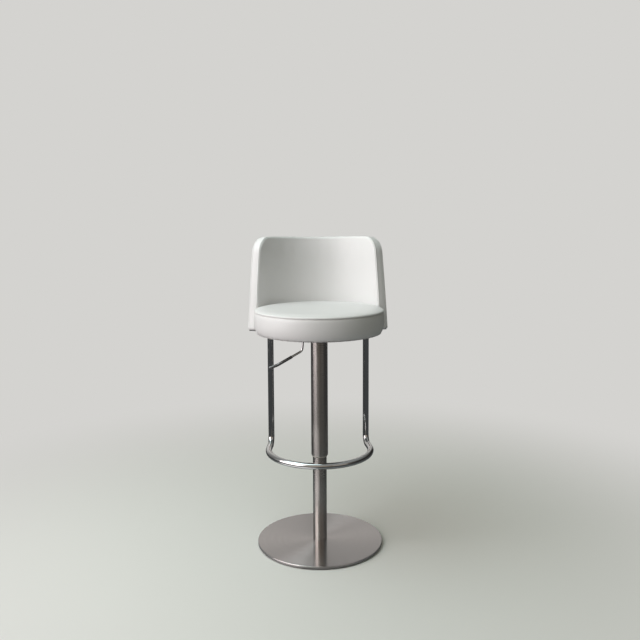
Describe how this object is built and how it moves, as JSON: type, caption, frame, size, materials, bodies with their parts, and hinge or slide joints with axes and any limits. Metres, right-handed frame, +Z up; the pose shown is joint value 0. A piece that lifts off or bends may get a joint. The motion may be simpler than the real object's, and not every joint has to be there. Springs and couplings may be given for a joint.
{
  "type": "counter stool",
  "caption": "Height-adjustable swivel counter stool: round padded seat in a wrap-round back, hung U footrest, telescoping column and disc base.",
  "frame": {"origin": "the column's axis where it meets the floor, on the floor pad's flat underside", "axes": "+Z up along the column; the sitter faces -Y; the lever is on the -X side"},
  "size_m": [0.5102, 0.504, 1.1088],
  "materials": {
    "brushed_stainless": "brushed stainless steel, circular on the disc and fine on the tubes",
    "polished_chrome": "polished chrome-plated steel",
    "ground_steel": "ground steel",
    "zinc_steel": "zinc-plated steel",
    "cast_iron": "rough cast iron",
    "black_enamel": "semi-gloss black powder coat",
    "floor_rubber": "matt non-slip foam rubber",
    "black_lining": "black dust-cover cloth",
    "grey_nylon": "natural nylon",
    "black_nylon": "black nylon",
    "grip_plastic": "glossy dark sleeve",
    "plywood": "raw plywood",
    "white_leatherette": "smooth white leatherette",
    "white_piping": "white leatherette welt"
  },
  "bodies": {
    "pedestal": {"floor_pad": "floor_rubber", "base_weight_plate": "cast_iron", "base_cover": "brushed_stainless", "column_tube": "brushed_stainless", "column_foot": "zinc_steel", "base_washer": "zinc_steel", "base_nut": "zinc_steel", "column_guide_bush": "black_nylon", "bearing_plate": "zinc_steel", "lower_race": "ground_steel"},
    "gas_rod": {"piston_rod": "ground_steel", "piston": "black_nylon", "thrust_bearing": "ground_steel", "upper_race": "ground_steel", "rod_clip": "zinc_steel"},
    "seat": {"gas_cylinder": "black_enamel", "cylinder_end_guide": "grey_nylon", "cover_tube": "brushed_stainless", "cover_guide_ring": "grey_nylon", "cover_collar": "black_nylon", "seat_plate": "black_enamel", "taper_hub": "zinc_steel", "lever_cradle": "zinc_steel", "footrest_tube": "polished_chrome", "footrest_flange_left": "polished_chrome", "footrest_flange_right": "polished_chrome", "plate_screw_1": "zinc_steel", "plate_screw_2": "zinc_steel", "plate_screw_3": "zinc_steel", "plate_screw_4": "zinc_steel", "flange_screw_1": "zinc_steel", "flange_screw_2": "zinc_steel", "flange_screw_3": "zinc_steel", "flange_screw_4": "zinc_steel", "bracket_screw_1": "zinc_steel", "bracket_screw_2": "zinc_steel", "bracket_screw_3": "zinc_steel", "bracket_screw_4": "zinc_steel", "seat_lining": "black_lining", "seat_board": "plywood", "seat_cushion": "white_leatherette", "seat_piping": "white_piping", "back_pad": "white_leatherette", "back_board": "plywood", "back_cover": "white_leatherette", "back_piping": "white_piping", "back_lining": "black_lining", "back_bracket_right": "black_enamel", "back_bracket_left": "black_enamel", "back_screw_right_1": "zinc_steel", "back_screw_right_2": "zinc_steel", "back_screw_left_1": "zinc_steel", "back_screw_left_2": "zinc_steel"},
    "lever": {"lever_rod": "polished_chrome", "lever_grip": "grip_plastic", "lever_pin": "ground_steel"},
    "valve_button": {"valve_button": "black_nylon"}
  },
  "joints": [
    {"name": "seat_swivel", "type": "hinge", "parent": "pedestal", "child": "gas_rod", "pos_m": [0, 0, 0.0566], "axis": [0, 0, 1], "continuous": true},
    {"name": "height_slide", "type": "slide", "parent": "gas_rod", "child": "seat", "axis": [0, 0, 1], "range_m": [-0.21, 0]},
    {"name": "lever_pivot", "type": "hinge", "parent": "seat", "child": "lever", "pos_m": [-0.033, 0, 0.7512], "axis": [0, 1, 0], "range_deg": [0, 6], "stiffness_Nm_per_rad": 1.2, "springref_deg": -8.59},
    {"name": "button_press", "type": "slide", "parent": "seat", "child": "valve_button", "axis": [0, 0, -1], "range_m": [0, 0.0036]}
  ],
  "couplings": [
    {"joint": "button_press", "follows": "lever_pivot", "m_per_rad": 0.033}
  ]
}
